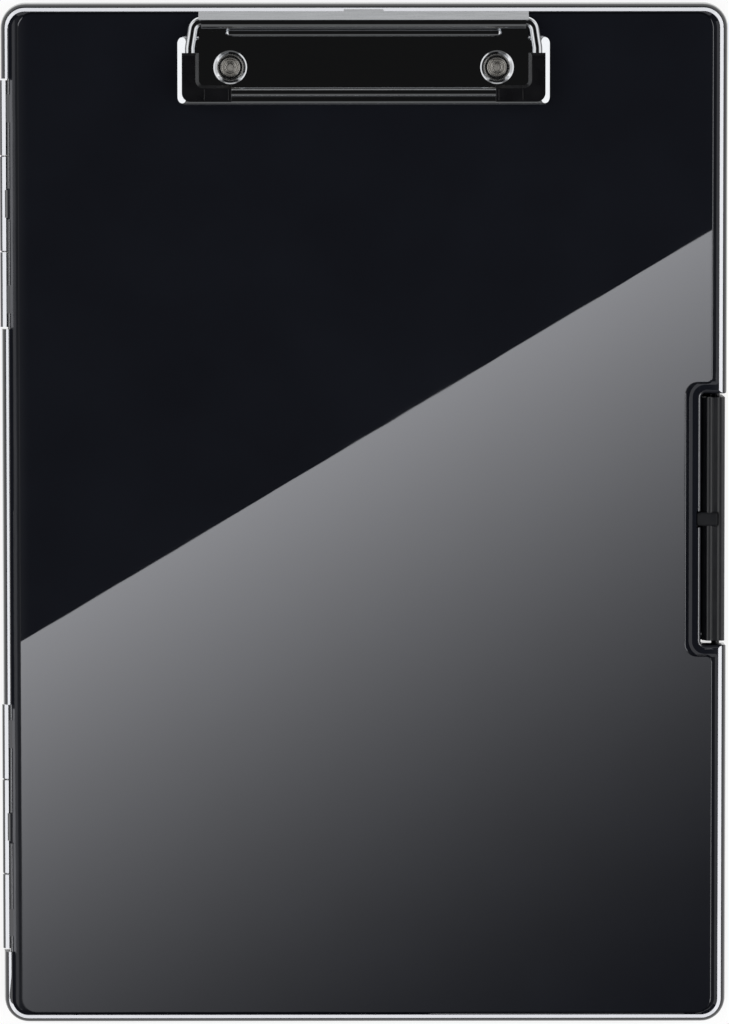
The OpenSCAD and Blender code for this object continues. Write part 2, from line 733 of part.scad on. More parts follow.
// Cuts above a line through the foot and the top of the sloping flange.
module flange_cutter() {
    rise = clip_h - flange_foot;
    past = 0.5;
    polygon([[past * flange_w, case_h + flange_foot - past * rise],
             [-(1 + past) * flange_w, clip_top + past * rise],
             [past * flange_w, clip_top + past * rise]]);
}

// Rounds the top edge of the clip plate along its length and its corners.
module clip_rounding() {
    x = clip_w / 2;
    r = clip_corner_r;
    run(r - x, clip_y_hi, 90, 2 * (x - r)) edge_cutter(clip_top, clip_edge_r);
    run(x - r, clip_y_lo, 270, 2 * (x - r)) edge_cutter(clip_top, clip_edge_r);
    turn(x - r, clip_y_hi - r, 0, r) edge_cutter(clip_top, clip_edge_r);
    turn(r - x, clip_y_hi - r, 90, r) edge_cutter(clip_top, clip_edge_r);
    turn(r - x, clip_y_lo + r, 180, r) edge_cutter(clip_top, clip_edge_r);
    turn(x - r, clip_y_lo + r, 270, r) edge_cutter(clip_top, clip_edge_r);
}

// Dish pressed down to the lid, with the rivet's hole in its floor.
module rivet_dish() {
    hole_r = rivet_r + rivet_gap;
    brim = 0.8;
    ease = 0.2;
    rotate_extrude() polygon([
        [hole_r, case_h], [hole_r, case_h + steel_t], [dish_floor_r, case_h + steel_t],
        [dish_r - ease, clip_top - ease], [dish_r + ease, clip_top], [dish_r + brim, clip_top],
        [dish_r + brim, clip_under], [dish_r + ease, clip_under],
        [dish_floor_r + steel_t / 2, case_h]]);
}

// Lip that lies over the back of the roll.
module roll_lip(w, l) {
    translate([-w / 2, roll_y + 0.15, roll_z + roll_out_r - 0.35]) rotate([-lip_slope, 0, 0])
        cube([w, l, steel_t * 0.85]);
}

// Stiffening bead in front of the roll, with round ends.
module stiffening_bead() {
    crown_r = (pow(rib_w / 2, 2) + pow(rib_h, 2)) / (2 * rib_h);
    end_x = rib_l / 2 - rib_w / 2;
    intersection() {
        translate([0, rib_y, clip_top + rib_h - crown_r]) {
            rotate([0, 90, 0]) cylinder(r = crown_r, h = 2 * end_x, center = true);
            for (x = [-end_x, end_x]) translate([x, 0, 0]) sphere(crown_r);
        }
        translate([-rib_l / 2, rib_y - rib_w, clip_top - steel_t / 2])
            cube([rib_l, 2 * rib_w, rib_h + steel_t]);
    }
}

module clip_plate() {
    color([0.75, 0.76, 0.78]) difference() {
        union() {
            difference() {
                translate([0, 0, case_h]) linear_extrude(clip_h) clip_outline(0);
                difference() {
                    translate([0, 0, case_h - over]) linear_extrude(clip_h + over - steel_t)
                        clip_outline(steel_t);
                    clip_slopes(flange_in);
                }
                clip_slopes(0);
                clip_rounding();
                for (s = [-1, 1]) translate([s * rivet_x, rivet_y, case_h - over])
                    cylinder(r = dish_r + 2 * merge, h = clip_h + 2 * over);
            }
            for (s = [-1, 1]) translate([s * rivet_x, rivet_y, 0]) rivet_dish();
            translate([-roll_w / 2, clip_y_hi - neck_l, clip_under])
                cube([roll_w, roll_y - clip_y_hi + neck_l, steel_t]);
            translate([0, roll_y, roll_z]) rotate([0, 90, 0])
                cylinder(r = roll_out_r, h = roll_l, center = true);
            roll_lip(roll_w, lip_l);
            roll_lip(tab_w, lip_l + tab_l);
            stiffening_bead();
        }
        translate([0, roll_y, roll_z]) rotate([0, 90, 0])
            cylinder(r = roll_in_r, h = roll_w + 2 * over, center = true);
    }
}

// ---------- bail ----------

// One bend of the wire: a stretch of ring from angle a to angle b.
module bend(mid, r, a, b) {
    translate(mid) rotate(a) rotate_extrude(angle = b - a) translate([r, 0]) children();
}

// The bail's corner, drawn with whatever section it is given.
module jaw_corner() {
    bend([arm_x - jaw_bend_r, jaw_y + jaw_bend_r], jaw_bend_r, 270, 360) children();
}

// A straight stretch of wire from one point towards another. It runs a little
// way into the bend at each end, whose wire is drawn a hair thinner.
module straight(from, to) {
    way = to - from;
    translate([from[0], from[1], 0]) rotate([0, 90, atan2(way[1], way[0])])
        translate([0, 0, -lap]) cylinder(r = wire_r, h = norm(way) + 2 * lap);
}

module wire_section() {
    circle(wire_r - hair);
}

// Half of the bail: its end in the roll, the bend out of it, the arm and the corner.
module bail_arm() {
    straight([bend_x - wire_end_l, roll_y], [bend_x, roll_y]);
    bend([bend_x, roll_y - wire_bend_r], wire_bend_r, splay, 90) wire_section();
    straight(bend_end, splay_end);
    bend(ease_mid, ease_r, 0, splay) wire_section();
    straight([arm_x, ease_mid[1]], [arm_x, jaw_y + jaw_bend_r]);
    jaw_corner() wire_section();
}

module bail_wire() {
    color([0.8, 0.81, 0.83]) translate([0, 0, roll_z]) {
        for (s = [0, 1]) mirror([s, 0, 0]) bail_arm();
        straight([jaw_bend_r - arm_x, jaw_y], [arm_x - jaw_bend_r, jaw_y]);
    }
}

// ---------- corner sleeves ----------

module sleeve_outline() {
    root = [sleeve_leg_x - sleeve_root_r, sleeve_leg_y + sleeve_root_r];
    end_x = sleeve_x - sleeve_jaw_l;
    difference() {
        translate([end_x, sleeve_y]) square([sleeve_jaw_l, sleeve_arm_l]);
        corner_block(sleeve_x - sleeve_corner_r, sleeve_y + sleeve_corner_r, sleeve_corner_r, 270);
        translate([end_x - over, root[1]]) square([sleeve_leg_x - end_x + over, sleeve_arm_l]);
        translate([end_x - over, sleeve_leg_y]) square([root[0] - end_x + over, sleeve_arm_l]);
        translate(root) circle(sleeve_root_r);
    }
}

// Slopes the sleeve's inner flank.
module flank_cutter() {
    polygon([[-bevel_w, sleeve_hi], [0, sleeve_hi - bevel_h], [merge, sleeve_hi - bevel_h],
             [merge, sleeve_hi + over], [-bevel_w, sleeve_hi + over]]);
}

// The wire's channel, open below so that the sleeve snaps on from above.
module channel() {
    mouth = 1.4 * wire_r;
    circle(wire_r + sleeve_gap);
    translate([-mouth / 2, -wire_r - over]) square([mouth, wire_r + over]);
}

module sleeve() {
    root = [sleeve_leg_x - sleeve_root_r, sleeve_leg_y + sleeve_root_r];
    arm_end = sleeve_y + sleeve_arm_l;
    jaw_end = sleeve_x - sleeve_jaw_l;
    chamfer_l = 0.9;
    chamfer_h = 0.7;
    pad_inset = 0.5;
    translate([0, 0, roll_z]) {
        difference() {
            translate([0, 0, sleeve_lo]) linear_extrude(sleeve_hi - sleeve_lo) sleeve_outline();
            run(sleeve_leg_x, root[1], 180, arm_end - root[1] + over) flank_cutter();
            turn(root[0], root[1], 270, sleeve_root_r, -1) flank_cutter();
            run(jaw_end - over, sleeve_leg_y, 90, root[0] - jaw_end + over) flank_cutter();
            run(arm_x, arm_end + over, 0, arm_end + over - jaw_y - jaw_bend_r) channel();
            jaw_corner() channel();
            run(jaw_end - over, jaw_y, 90, arm_x - jaw_bend_r - jaw_end + over) channel();
            run(sleeve_leg_x - over, arm_end, 90, sleeve_w + 2 * over)
                polygon([[-chamfer_l, sleeve_hi], [0, sleeve_hi - chamfer_h],
                         [over, sleeve_hi - chamfer_h], [over, sleeve_hi + over],
                         [-chamfer_l, sleeve_hi + over]]);
        }
        translate([jaw_end + chamfer_l, sleeve_y + pad_inset, sleeve_hi - merge])
            cube([pad_l, sleeve_leg_y - sleeve_y - bevel_w - 1.4 * pad_inset, pad_h + merge]);
    }
}

module sleeve_right() {
    color([0.07, 0.07, 0.08]) sleeve();
}

module sleeve_left() {
    color([0.07, 0.07, 0.08]) mirror([1, 0, 0]) sleeve();
}

// ---------- rivets and washers ----------

// Semi-tubular rivet: its hollow end is rolled over in the dish, and its closed
// head lies under the washer.
module rivet() {
    seat_z = case_h + steel_t;
    foot_top = lid_under - washer_t;
    foot_z = foot_top - rivet_foot_h;
    foot_reach = 0.8;
    rim_r = 0.45;
    rim_x = rivet_head_r - rim_r;
    rotate_extrude() {
        translate([rivet_bore_r, foot_z])
            square([rivet_r - rivet_bore_r, seat_z - foot_z + rim_r]);
        translate([rivet_bore_r, seat_z]) square([rim_x - rivet_bore_r, rivet_head_h - rim_r]);
        translate([rim_x, seat_z]) square(rim_r);
        translate([rim_x, seat_z + rim_r]) circle(rim_r);
        translate([rivet_bore_r + rim_r, seat_z + rivet_head_h - rim_r]) circle(rim_r);
        translate([0, foot_z]) square([rivet_r + foot_reach, rivet_foot_h]);
        translate([rivet_r + foot_reach, foot_z + rivet_foot_h / 2]) circle(rivet_foot_h / 2);
    }
}

module rivet_right() {
    color("gainsboro") translate([rivet_x, rivet_y, 0]) rivet();
}

module rivet_left() {
    color("gainsboro") translate([-rivet_x, rivet_y, 0]) rivet();
}

module washer() {
    translate([0, 0, lid_under - washer_t]) difference() {
        cylinder(r = washer_r, h = washer_t);
        translate([0, 0, -over]) cylinder(r = rivet_r + rivet_gap, h = washer_t + 2 * over);
    }
}

module washer_right() {
    color("lightgray") translate([rivet_x, rivet_y, 0]) washer();
}

module washer_left() {
    color("lightgray") translate([-rivet_x, rivet_y, 0]) washer();
}

base_tray();
lid();
hinge_pin_upper();
hinge_pin_lower();
side_latch();
clip_plate();
bail_wire();
sleeve_left();
sleeve_right();
rivet_left();
rivet_right();
washer_left();
washer_right();
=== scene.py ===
# %% [markdown]
# # A black storage clipboard case
# A flat case for A4 paper, closed, lying on its back. Its tray and lid are
# moulded in glossy black polystyrene, and a chromed wire clip is riveted to the
# lid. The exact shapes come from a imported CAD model, so this script leaves them
# alone and gives them their finishes, a floor, a studio and a camera.

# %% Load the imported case
import math

import bmesh
import bpy
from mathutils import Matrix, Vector


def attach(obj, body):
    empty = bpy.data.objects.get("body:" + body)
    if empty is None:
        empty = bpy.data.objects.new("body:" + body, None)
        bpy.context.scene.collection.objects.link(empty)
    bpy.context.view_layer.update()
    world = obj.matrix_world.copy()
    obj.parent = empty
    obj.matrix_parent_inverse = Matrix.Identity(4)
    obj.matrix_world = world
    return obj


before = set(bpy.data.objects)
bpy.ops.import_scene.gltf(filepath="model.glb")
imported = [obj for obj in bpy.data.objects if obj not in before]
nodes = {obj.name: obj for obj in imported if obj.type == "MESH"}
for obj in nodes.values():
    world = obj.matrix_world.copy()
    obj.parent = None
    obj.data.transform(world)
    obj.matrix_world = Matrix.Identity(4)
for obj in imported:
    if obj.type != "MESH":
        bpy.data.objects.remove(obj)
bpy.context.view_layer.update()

# %% [markdown]
# ## Colours, nodes and materials
# Colours are written the way a paint chart gives them, as sRGB hex values.
# Blender's sockets want linear light, so one function turns one into the other.
# A second one adds a node to a tree. It takes settings by name and plugs in
# what feeds it, which keeps every material below short enough to read.

# %% Helpers for materials
MM = 0.001
WHITE = (1, 1, 1, 1)


def colour(hex_text):
    parts = [int(hex_text[i:i + 2], 16) / 255 for i in (1, 3, 5)]
    return tuple(p / 12.92 if p <= 0.04045 else ((p + 0.055) / 1.055) ** 2.4 for p in parts) + (1,)


def add_node(tree, kind, values=None, links=None, **settings):
    node = tree.nodes.new(kind)
    for name, value in settings.items():
        setattr(node, name, value)
    for socket, value in (values or {}).items():
        node.inputs[socket].default_value = value
    for socket, source in (links or {}).items():
        tree.links.new(source, node.inputs[socket])
    return node


def new_material(name):
    material = bpy.data.materials.new(name)
    material.use_nodes = True
    material.node_tree.nodes.clear()
    return material, material.node_tree


def dress(node_names, material):
    for name in node_names:
        nodes[name].data.materials.clear()
        nodes[name].data.materials.append(material)
    print(material.name, "on", ", ".join(node_names))


print("a mid grey, #808080, is", round(colour("#808080")[0], 3), "in linear light")

# %% [markdown]
# ## Glossy black polystyrene, injection moulded
# The tray and the lid come out of a polished steel mould, so they are smooth
# enough to mirror the room, as a piano lid does. Polystyrene has an IOR of
# 1.59, a little over glass, which gives a mirror image of about 5 percent
# strength.
#
# A flat black with one roughness would do, but it looks like a drawing. Handling
# leaves a faint haze, so here noise lets the roughness drift in patches some
# 30 mm wide. The wall of a moulding also shrinks a little unevenly, in waves
# some 18 mm long. A bump bends long reflections by that hair, because moving
# the mesh itself would change the part.

# %% Case plastic
CASE_BLACK = "#111217"
CASE_WORN = "#17191f"
HAZE_PATCH = 30 * MM
SHRINK_WAVE = 18 * MM
WAVE_HEIGHT = 0.0015 * MM

case_plastic, tree = new_material("polystyrene_gloss_moulded")
place = add_node(tree, "ShaderNodeTexCoord").outputs["Object"]
haze = add_node(tree, "ShaderNodeTexNoise", {"Scale": 1 / HAZE_PATCH, "Detail": 3.0},
                {"Vector": place}).outputs["Fac"]
rough = add_node(tree, "ShaderNodeMapRange",
                 {"From Min": 0.35, "From Max": 0.7, "To Min": 0.005, "To Max": 0.012},
                 {"Value": haze}).outputs["Result"]
tone = add_node(tree, "ShaderNodeMix", {"A": colour(CASE_BLACK), "B": colour(CASE_WORN)},
                data_type="RGBA")
tree.links.new(haze, tone.inputs["Factor"])
shrink = add_node(tree, "ShaderNodeTexNoise", {"Scale": 1 / SHRINK_WAVE, "Detail": 1.0},
                  {"Vector": place}).outputs["Fac"]
wave = add_node(tree, "ShaderNodeBump", {"Strength": 1.0, "Distance": WAVE_HEIGHT},
                {"Height": shrink}).outputs["Normal"]
gloss = add_node(tree, "ShaderNodeBsdfPrincipled", {"IOR": 1.59},
                 {"Base Color": tone.outputs["Result"], "Roughness": rough, "Normal": wave})
add_node(tree, "ShaderNodeOutputMaterial", links={"Surface": gloss.outputs["BSDF"]})
dress(["lid", "base_tray"], case_plastic)

# %% [markdown]
# ## Satin black plastic, moulded in a grained tool
# The latch is polypropylene and the clip's corner sleeves are polyamide, both
# tougher than the case. Their moulds keep a fine spark-eroded grain, so light
# spreads on them and isn't mirrored.
#
# Real dents would need millions of faces, so the grain is a bump. It is a fifth
# to a quarter of a millimetre wide, a little coarser than the real one so that
# it shows. Moulded edges are never quite sharp, and a Bevel node rounds them for
# the light without touching the mesh.

# %% Latch and sleeve plastic
RUBBED_PATCH = 6 * MM
SOFT_EDGE = 0.2 * MM
GRAIN_HEIGHT = 0.002 * MM


def satin_plastic(name, hex_dark, hex_pale, roughness, grain):
    material, tree = new_material(name)
    place = add_node(tree, "ShaderNodeTexCoord").outputs["Object"]
    grains = add_node(tree, "ShaderNodeTexNoise", {"Scale": 1 / grain, "Detail": 2.0},
                      {"Vector": place}).outputs["Fac"]
    rubbed = add_node(tree, "ShaderNodeTexNoise", {"Scale": 1 / RUBBED_PATCH, "Detail": 4.0},
                      {"Vector": place}).outputs["Fac"]
    rough = add_node(tree, "ShaderNodeMapRange",
                     {"From Min": 0.3, "From Max": 0.7,
                      "To Min": roughness - 0.05, "To Max": roughness + 0.05},
                     {"Value": rubbed}).outputs["Result"]
    tone = add_node(tree, "ShaderNodeMix", {"A": colour(hex_dark), "B": colour(hex_pale)},
                    {"Factor": rubbed}, data_type="RGBA")
    edges = add_node(tree, "ShaderNodeBevel", {"Radius": SOFT_EDGE}, samples=6)
    bump = add_node(tree, "ShaderNodeBump", {"Strength": 1.0, "Distance": GRAIN_HEIGHT},
                    {"Height": grains, "Normal": edges.outputs["Normal"]}).outputs["Normal"]
    shader = add_node(tree, "ShaderNodeBsdfPrincipled", {"IOR": 1.49},
                      {"Base Color": tone.outputs["Result"], "Roughness": rough, "Normal": bump})
    add_node(tree, "ShaderNodeOutputMaterial", links={"Surface": shader.outputs["BSDF"]})
    return material


dress(["side_latch"],
      satin_plastic("polypropylene_satin_moulded", "#101114", "#16171a", 0.36, 0.25 * MM))
dress(["sleeve_left", "sleeve_right"],
      satin_plastic("polyamide_satin_moulded", "#08080a", "#0f0f12", 0.28, 0.2 * MM))

# %% [markdown]
# ## Bright chrome plate on steel
# The clip's plate and wire are steel, polished and plated with nickel and a
# thin film of chromium. It is a mirror, very slightly blue, that gives back
# about three quarters of the light. The polishing wheel leaves hair-fine lines
# along the piece.
#
# An anisotropic shader could smear highlights across such lines, but this plate
# still looks like a mirror. So noise is stretched 25 times along X and moves the
# roughness only a little. Its lines are 0.4 mm across, coarser than the real
# ones so that they show.

# %% Chrome
CHROME_BLUISH = "#e3e5e8"
POLISH_LINE = 0.4 * MM
LINE_STRETCH = 25

chrome, tree = new_material("chrome_plated_polished")
place = add_node(tree, "ShaderNodeTexCoord").outputs["Object"]
stretched = add_node(tree, "ShaderNodeMapping", {"Scale": (1 / LINE_STRETCH, 1.0, 1.0)},
                     {"Vector": place}).outputs["Vector"]
lines = add_node(tree, "ShaderNodeTexNoise", {"Scale": 1 / POLISH_LINE, "Detail": 3.0},
                 {"Vector": stretched}).outputs["Fac"]
rough = add_node(tree, "ShaderNodeMapRange",
                 {"From Min": 0.3, "From Max": 0.7, "To Min": 0.05, "To Max": 0.1},
                 {"Value": lines}).outputs["Result"]
mirror = add_node(tree, "ShaderNodeBsdfPrincipled",
                  {"Base Color": colour(CHROME_BLUISH), "Metallic": 1.0}, {"Roughness": rough})
add_node(tree, "ShaderNodeOutputMaterial", links={"Surface": mirror.outputs["BSDF"]})
dress(["clip_plate", "bail_wire"], chrome)

# %% [markdown]
# ## Nickel-plated steel, barrel polished
# Rivets, washers and hinge pins are small turned or pressed pieces, plated in
# bulk in a tumbling barrel. They come out duller and warmer than chrome, with
# tiny dents about 0.6 mm wide from knocking against each other. One noise makes
# both the dents and the uneven shine, since the knocks cause both.

# %% Small steel parts
NICKEL_WARM = "#cfccc6"
DENT_WIDE = 0.6 * MM
DENT_DEEP = 0.01 * MM

steel, tree = new_material("steel_nickel_plated_tumbled")
place = add_node(tree, "ShaderNodeTexCoord").outputs["Object"]
knocks = add_node(tree, "ShaderNodeTexNoise", {"Scale": 1 / DENT_WIDE, "Detail": 4.0},
                  {"Vector": place}).outputs["Fac"]
rough = add_node(tree, "ShaderNodeMapRange",
                 {"From Min": 0.3, "From Max": 0.7, "To Min": 0.2, "To Max": 0.32},
                 {"Value": knocks}).outputs["Result"]
dents = add_node(tree, "ShaderNodeBump", {"Strength": 1.0, "Distance": DENT_DEEP},
                 {"Height": knocks}).outputs["Normal"]
nickel = add_node(tree, "ShaderNodeBsdfPrincipled",
                  {"Base Color": colour(NICKEL_WARM), "Metallic": 1.0},
                  {"Roughness": rough, "Normal": dents})
add_node(tree, "ShaderNodeOutputMaterial", links={"Surface": nickel.outputs["BSDF"]})
dress(["rivet_left", "rivet_right", "washer_left", "washer_right",
       "hinge_pin_upper", "hinge_pin_lower"], steel)

# %% [markdown]
# ## Floor
# The case lies on a white paper sheet, 12 m square so that its edge doesn't show.
# White paper lit until it is clean white would flood the case with light.
# So most of its white is its own: it glows towards the camera, mirrors and glass
# only, and reflects just enough of the lamps for the case's shadow to show. Far
# from the case the lamps reach it less, so its own white rises with distance.

# %% Floor
FLOOR_HALF = 6.0
FLOOR_DROP = 0.02 * MM
PAPER_GREY = 0.27
NEAR_WHITE, FAR_WHITE = 0.78, 1.0
RISE_FROM, RISE_TO = 0.8, 2.6

sheet = bmesh.new()
bmesh.ops.create_grid(sheet, x_segments=1, y_segments=1, size=FLOOR_HALF)
bmesh.ops.translate(sheet, verts=sheet.verts, vec=(0, 0, -FLOOR_DROP))
floor_mesh = bpy.data.meshes.new("floor")
sheet.to_mesh(floor_mesh)
sheet.free()
floor = bpy.data.objects.new("floor", floor_mesh)
bpy.context.scene.collection.objects.link(floor)

paper, tree = new_material("paper_white_sweep")
rays = add_node(tree, "ShaderNodeLightPath").outputs
seen = add_node(tree, "ShaderNodeMath", operation="ADD",
                links={0: rays["Is Camera Ray"], 1: rays["Is Glossy Ray"]}).outputs[0]
seen = add_node(tree, "ShaderNodeMath", operation="ADD",
                links={0: seen, 1: rays["Is Transmission Ray"]}).outputs[0]
away = add_node(tree, "ShaderNodeVectorMath", operation="LENGTH",
                links={0: add_node(tree, "ShaderNodeTexCoord").outputs["Object"]}).outputs["Value"]
own_white = add_node(tree, "ShaderNodeMapRange",
                     {"From Min": RISE_FROM, "From Max": RISE_TO,
                      "To Min": NEAR_WHITE, "To Max": FAR_WHITE},
                     {"Value": away}, interpolation_type="SMOOTHSTEP").outputs["Result"]
glow_level = add_node(tree, "ShaderNodeMath", links={0: seen, 1: own_white},
                      operation="MULTIPLY").outputs[0]
glow = add_node(tree, "ShaderNodeEmission", {"Color": WHITE}, {"Strength": glow_level})
matt = add_node(tree, "ShaderNodeBsdfDiffuse", {"Color": (PAPER_GREY, PAPER_GREY, PAPER_GREY, 1)})
both = add_node(tree, "ShaderNodeAddShader", links={0: glow.outputs[0], 1: matt.outputs[0]})
add_node(tree, "ShaderNodeOutputMaterial", links={"Surface": both.outputs[0]})
floor_mesh.materials.append(paper)
print("floor:", 2 * FLOOR_HALF, "m square,", FLOOR_DROP / MM, "mm under the case")

# %% [markdown]
# ## Studio
# A glossy black object shows hardly any colour of its own: what makes it
# readable is what it mirrors. So the studio is a dark room with light set
# where each surface needs something to mirror.
#
# The room itself is the world. It is a band of light round the horizon, brighter
# beyond the case's long sides than beyond its ends, and almost black from 50
# degrees up. Only the camera sees it as plain white.

# %% World
END_LIGHT, SIDE_LIGHT, OVERHEAD_LIGHT = 0.12, 0.55, 0.008
BAND_TOP, DARK_FROM = math.radians(38), math.radians(50)

world = bpy.data.worlds.new("studio")
bpy.context.scene.world = world
world.use_nodes = True
tree = world.node_tree
tree.nodes.clear()
axes = add_node(tree, "ShaderNodeSeparateXYZ",
                links={0: add_node(tree, "ShaderNodeTexCoord").outputs["Generated"]}).outputs
sideways = add_node(tree, "ShaderNodeMath", links={0: axes["X"]}, operation="ABSOLUTE").outputs[0]
side = add_node(tree, "ShaderNodeMapRange",
                {"From Min": 0.35, "From Max": 0.65, "To Min": END_LIGHT, "To Max": SIDE_LIGHT},
                {"Value": sideways}, interpolation_type="SMOOTHSTEP").outputs["Result"]
band = add_node(tree, "ShaderNodeMapRange",
                {"From Min": math.sin(BAND_TOP), "From Max": math.sin(DARK_FROM),
                 "To Max": OVERHEAD_LIGHT},
                {"Value": axes["Z"], "To Min": side},
                interpolation_type="SMOOTHSTEP").outputs["Result"]
camera_ray = add_node(tree, "ShaderNodeLightPath").outputs["Is Camera Ray"]
level = add_node(tree, "ShaderNodeMix", {"B": 1.0}, {"Factor": camera_ray, "A": band})
sky = add_node(tree, "ShaderNodeBackground", {"Color": WHITE},
               {"Strength": level.outputs["Result"]})
add_node(tree, "ShaderNodeOutputWorld", links={"Surface": sky.outputs["Background"]})
print("world: light up to", round(math.degrees(BAND_TOP)), "degrees, dark from",
      round(math.degrees(DARK_FROM)))

# %% [markdown]
# ## Soft boxes
# A soft box is a rectangle of light aimed at the case. A large one overhead
# gives the plain light of the room, and nothing mirrors it. A wide pair beyond
# the long sides is for the plastic to mirror. Metal mirrors more than ten times
# as strongly as plastic does, so it has weaker boxes of its own, and so have the
# rivets and the latch. One set of lamps for all would leave either the plastic
# dull or the metal burnt out, so light linking says which lamp reaches which
# piece.

# %% Which lamp reaches which piece
SHELL = ["lid", "base_tray"]
RIVETS = ["rivet_left", "rivet_right"]
METAL = ["clip_plate", "bail_wire", *RIVETS, "washer_left", "washer_right",
         "hinge_pin_upper", "hinge_pin_lower"]


def shine(light, node_names, state="INCLUDE"):
    """Let a light reach only these pieces, or with EXCLUDE everything but them."""
    group = bpy.data.collections.new(light.name + "_receivers")
    for name in node_names:
        group.objects.link(nodes[name])
    for item in group.collection_objects:
        item.light_linking.link_state = state
    light.light_linking.receiver_collection = group


print("pieces of metal:", len(METAL), "- big mouldings:", len(SHELL))


# %% Soft boxes
SIDES = (("right", 0), ("left", 180))


def soft_box(name, azimuth, elevation, wide, tall, radiance, only=None, distance=2.4):
    """A lamp aimed at the case. Azimuth 0 is the right side, 90 the clip end."""
    a, e = math.radians(azimuth), math.radians(elevation)
    towards = Vector((math.cos(a) * math.cos(e), math.sin(a) * math.cos(e), math.sin(e)))
    lamp = bpy.data.lights.new(name, "AREA")
    lamp.shape = "RECTANGLE"
    lamp.size, lamp.size_y = wide, tall
    lamp.energy = radiance * math.pi * wide * tall
    box = bpy.data.objects.new(name, lamp)
    bpy.context.scene.collection.objects.link(box)
    box.location = towards * distance
    box.rotation_euler = towards.to_track_quat("Z", "Y").to_euler()
    box.visible_camera = False
    if only:
        box.visible_diffuse = False
        shine(box, only)
    print(name, "radiance", radiance)
    return box


# Each line gives azimuth, elevation, width, height, radiance and the pieces it reaches.
for name, azimuth in SIDES:
    shine(soft_box("box_" + name, azimuth, 36, 4.0, 1.9, 1.1), METAL, "EXCLUDE")
    soft_box("chrome_low_" + name, azimuth, 21, 4.0, 0.55, 0.62, METAL)
    soft_box("chrome_high_" + name, azimuth, 42, 4.0, 1.15, 0.4, METAL)
soft_box("fill_above", 0, 90, 3.0, 3.0, 1.3, distance=2.6).visible_glossy = False
soft_box("strip_lip", 90, 34, 2.0, 0.25, 0.42, METAL)
soft_box("rivet_above", 90, 84, 0.9, 0.9, 0.4, RIVETS)
for name, azimuth in SIDES:
    soft_box("latch_" + name, azimuth, 66, 3.0, 0.9, 0.55, ["side_latch"])

# %% [markdown]
# ## Lights that only mirrors see
# The rest of the light shows only as a mirror image in the case. Each piece of
# it is a mesh that glows, lets everything else through, casts no shadow and
# doesn't light matt surfaces. Area lamps could only be rectangles or discs, and
# a mesh can follow any line. Emission added to Transparent makes it see-through.

# %% A mesh that glows
LAMP_WHITE = (0.94, 0.95, 1, 1)


def glowing_mesh(name, points, faces, only, rides_on=None):
    """A mesh seen only as a mirror image, and the socket for its strength."""
    mesh = bpy.data.meshes.new(name)
    mesh.from_pydata(points, [], faces)
    thing = bpy.data.objects.new(name, mesh)
    bpy.context.scene.collection.objects.link(thing)
    if rides_on:
        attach(thing, rides_on)
    thing.visible_camera = False
    thing.visible_shadow = False
    thing.visible_diffuse = False
    shine(thing, only)
    material, tree = new_material(name + "_light")
    emission = add_node(tree, "ShaderNodeEmission", {"Color": LAMP_WHITE})
    clear = add_node(tree, "ShaderNodeBsdfTransparent")
    both = add_node(tree, "ShaderNodeAddShader",
                    links={0: emission.outputs[0], 1: clear.outputs[0]})
    add_node(tree, "ShaderNodeOutputMaterial", links={"Surface": both.outputs[0]})
    mesh.materials.append(material)
    print(name, "- faces:", len(faces), "- seen in:", ", ".join(only))
    return tree, emission.inputs["Strength"]


def paired_faces(count):
    """The faces between neighbours in a row of this many pairs of points."""
    return [(2 * i, 2 * i + 2, 2 * i + 3, 2 * i + 1) for i in range(count - 1)]


print("faces between five pairs of points:", len(paired_faces(5)))

# %% [markdown]
# ## A faint ring
# The slopes of the rim mirror a faint ring of light that hangs all round the
# case, except at its right side. The camera stands over the clip end and sees
# the foot end aslant, so the ring hangs a little lower there. A spin could make
# an even ring only, so a loop works out this one's points.

# %% Faint ring
LID_TOP = 24 * MM
RING_RADIUS = 1.9
RING_STEPS = 120


def ring(name, elevations, foot_drop, radiance, sector):
    """A ring between two elevations, in degrees, over a sector of azimuths."""
    points = []
    for i in range(RING_STEPS + 1):
        a = math.radians(sector[0] + (sector[1] - sector[0]) * i / RING_STEPS)
        foot = min(1.0, max(0.0, (-math.sin(a) - 0.2) / 0.3))  # rises to 1 at the foot end
        for elevation in elevations:
            up = math.tan(math.radians(elevation - foot_drop * foot))
            points.append((RING_RADIUS * math.cos(a), RING_RADIUS * math.sin(a),
                           LID_TOP + RING_RADIUS * up))
    faces = paired_faces(RING_STEPS + 1)
    glowing_mesh(name, points, faces, SHELL)[1].default_value = radiance


ring("ring_faint", (43, 62), 3, 0.7, (55, 305))

# %% [markdown]
# ## Bright lines beside the rim
# The narrow flat along the lid's rim leans outwards, so it mirrors a place
# outside the case and not the one overhead. A bright line follows it there,
# four centimetres away. A strip that leans out by 25 degrees turns a line of
# sight from straight above by 50, to 40 degrees over the horizon. The camera
# isn't straight above every part of the rim, so its own lean is taken off. A
# lamp far away would do for the rim too, but the wide face would mirror it as
# soon as the case is looked at from the side.
#
# The line reaches no further than the rim: its strength depends on how long the
# ray to it is, so that the lid's wide face doesn't mirror it. It rides on the
# lid, so it leaves with it when the lid opens. The flats along the hinge barrels
# lean more and lie lower, and have a line of their own.

# %% The path of the rim
CAMERA_AT = Vector((-0.0039, 0.1334, 2.0))
RIM_LEFT, RIM_RIGHT, RIM_END = -112.8 * MM, 113.0 * MM, 160.2 * MM
RIM_CORNER = 6 * MM
CORNER_STEPS = 12

